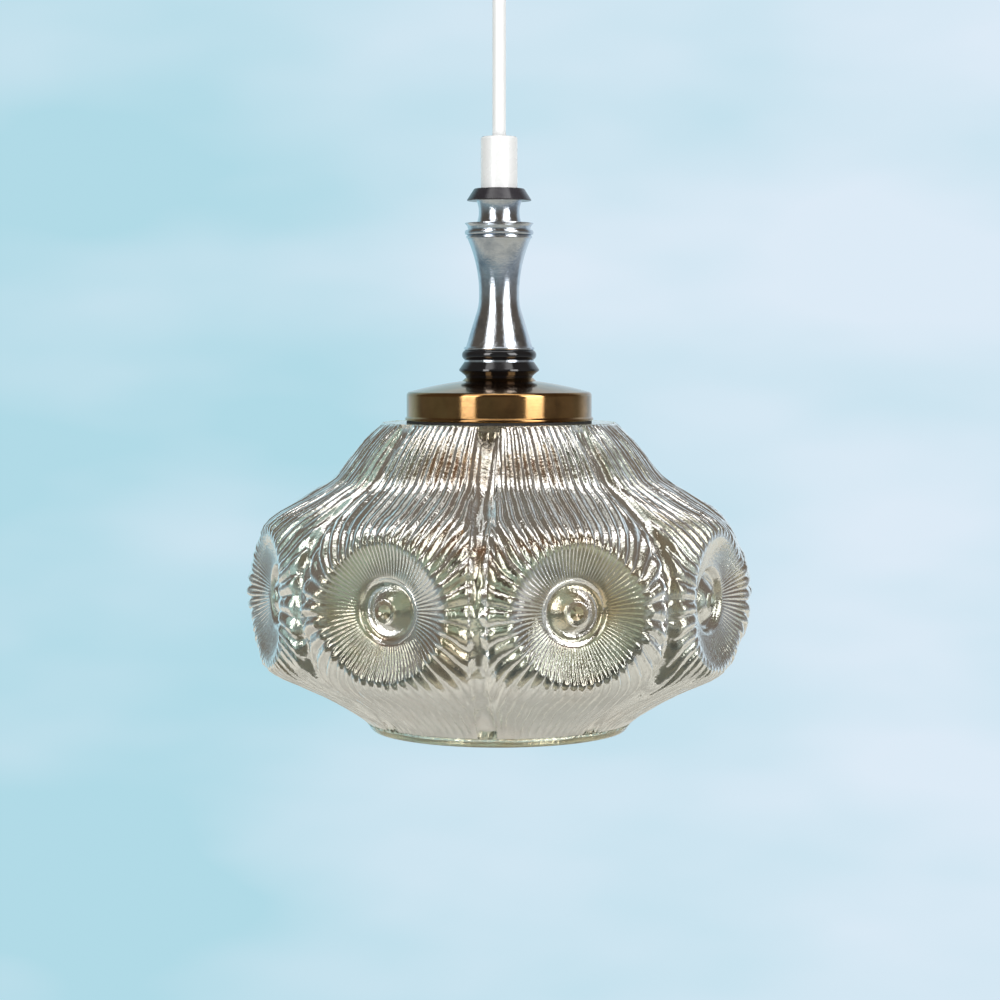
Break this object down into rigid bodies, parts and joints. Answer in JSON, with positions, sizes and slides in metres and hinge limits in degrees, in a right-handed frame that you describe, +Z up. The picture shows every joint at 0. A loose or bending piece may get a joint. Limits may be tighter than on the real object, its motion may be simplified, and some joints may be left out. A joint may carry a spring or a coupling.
{
  "type": "pendant ceiling light",
  "caption": "Pendant ceiling light: pressed-glass shade with round dished eyes, spun brass cap, turned nickel stem, straight flex and ceiling canopy.",
  "frame": {"origin": "on the ceiling, over the lamp's axis, in the middle of the bracket's top face", "axes": "+Z up along the flex, +X along the ceiling bracket, -Y towards the front"},
  "size_m": [0.2404, 0.2404, 0.4246],
  "materials": {
    "zinc_steel": "satin zinc plate",
    "screw_steel": "bright zinc plate",
    "white_plastic": "semi-gloss moulded white",
    "white_nylon": "satin",
    "white_flex": "smooth PVC sheath",
    "core_sleeve": "brown PVC insulation",
    "block_plastic": "natural polyamide",
    "brass_hardware": "bright",
    "dark_plate": "gloss black enamel",
    "polished_nickel": "polished nickel with fine wear",
    "black_gloss": "gloss black",
    "lacquered_brass": "brushed and lacquered",
    "black_rubber": "matt",
    "lustre_glass": "pressed glass with a faint champagne lustre",
    "bakelite": "moulded phenolic",
    "porcelain": "glazed ceramic",
    "solder": "dull solder",
    "bulb_nickel": "bright aluminium",
    "vitrite": "black glass",
    "clear_glass": "clear",
    "tungsten": "dull tungsten"
  },
  "bodies": {
    "ceiling": {"ceiling_bracket": "zinc_steel", "canopy": "white_plastic", "canopy_screws": "screw_steel", "canopy_nut": "screw_steel", "canopy_grip": "white_plastic", "canopy_grip_screw": "white_nylon", "terminal_block": "block_plastic", "terminal_screws": "brass_hardware", "canopy_lead": "white_flex", "canopy_cores": "core_sleeve"},
    "bend": {"cord_bend": "white_flex"},
    "pendant": {"cord": "white_flex", "inner_cord": "white_flex", "cord_grip": "white_plastic", "grip_screw": "white_nylon", "cone_washer": "dark_plate", "neck_spool": "polished_nickel", "collar_ring": "polished_nickel", "stem": "polished_nickel", "upper_bead": "black_gloss", "spacer_ring": "polished_nickel", "lower_bead": "black_gloss", "foot_ring": "lacquered_brass", "thread_tube": "zinc_steel", "brass_cap": "lacquered_brass", "cap_gasket": "black_rubber", "glass_shade": "lustre_glass", "inner_gasket": "black_rubber", "retaining_disc": "zinc_steel", "cap_washer": "screw_steel", "clamp_nuts": "screw_steel", "holder_cap": "bakelite", "holder_body": "bakelite", "holder_insert": "porcelain", "screw_shell": "brass_hardware", "centre_contact": "brass_hardware", "holder_screws": "screw_steel", "holder_wires": "core_sleeve"},
    "bulb_contact": {"bulb_tip": "solder"},
    "bulb": {"bulb_cap": "bulb_nickel", "bulb_insulator": "vitrite", "bulb_envelope": "clear_glass", "bulb_mount": "clear_glass", "bulb_filament": "tungsten"}
  },
  "joints": [
    {"name": "swing_sideways", "type": "hinge", "parent": "ceiling", "child": "bend", "pos_m": [0, 0, -0.053], "axis": [0, 1, 0], "range_deg": [-20, 20]},
    {"name": "swing_front_back", "type": "hinge", "parent": "bend", "child": "pendant", "pos_m": [0, 0, -0.058], "axis": [1, 0, 0], "range_deg": [-20, 20]},
    {"name": "bulb_travel", "type": "slide", "parent": "pendant", "child": "bulb_contact", "axis": [0, 0, -1], "range_m": [0, 0.0185]},
    {"name": "bulb_turn", "type": "hinge", "parent": "bulb_contact", "child": "bulb", "pos_m": [0, 0, -0.33], "axis": [0, 0, -1], "range_deg": [0, 1800]}
  ],
  "couplings": [
    {"joint": "bulb_travel", "follows": "bulb_turn", "m_per_rad": 0.00057757}
  ]
}
